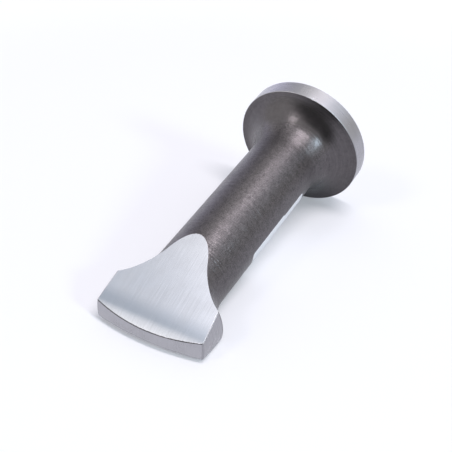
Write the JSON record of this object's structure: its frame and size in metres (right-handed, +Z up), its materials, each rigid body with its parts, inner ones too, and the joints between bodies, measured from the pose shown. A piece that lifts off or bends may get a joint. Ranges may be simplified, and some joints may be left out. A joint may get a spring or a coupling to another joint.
{
  "type": "toe dolly",
  "caption": "Forged hand dolly for sheet metal: a round shaft with a crowned disc head at one end and a thin, ground wedge toe at the other.",
  "frame": {"origin": "on the bench, under the middle of the tool's length, with the tool lying on the rim of its head and on the flat under its toe", "axes": "+X along the bench from the head to the toe, +Y across the toe, +Z up from the bench"},
  "size_m": [0.1304, 0.056, 0.0564],
  "materials": {
    "forged_steel": "dark phosphate coat on the shaft and flares, bare ground steel on the head's rim and on the toe",
    "label_stock": "blank white label stock"
  },
  "bodies": {
    "root": {"dolly_forging": "forged_steel", "shaft_label": "label_stock"}
  },
  "joints": []
}
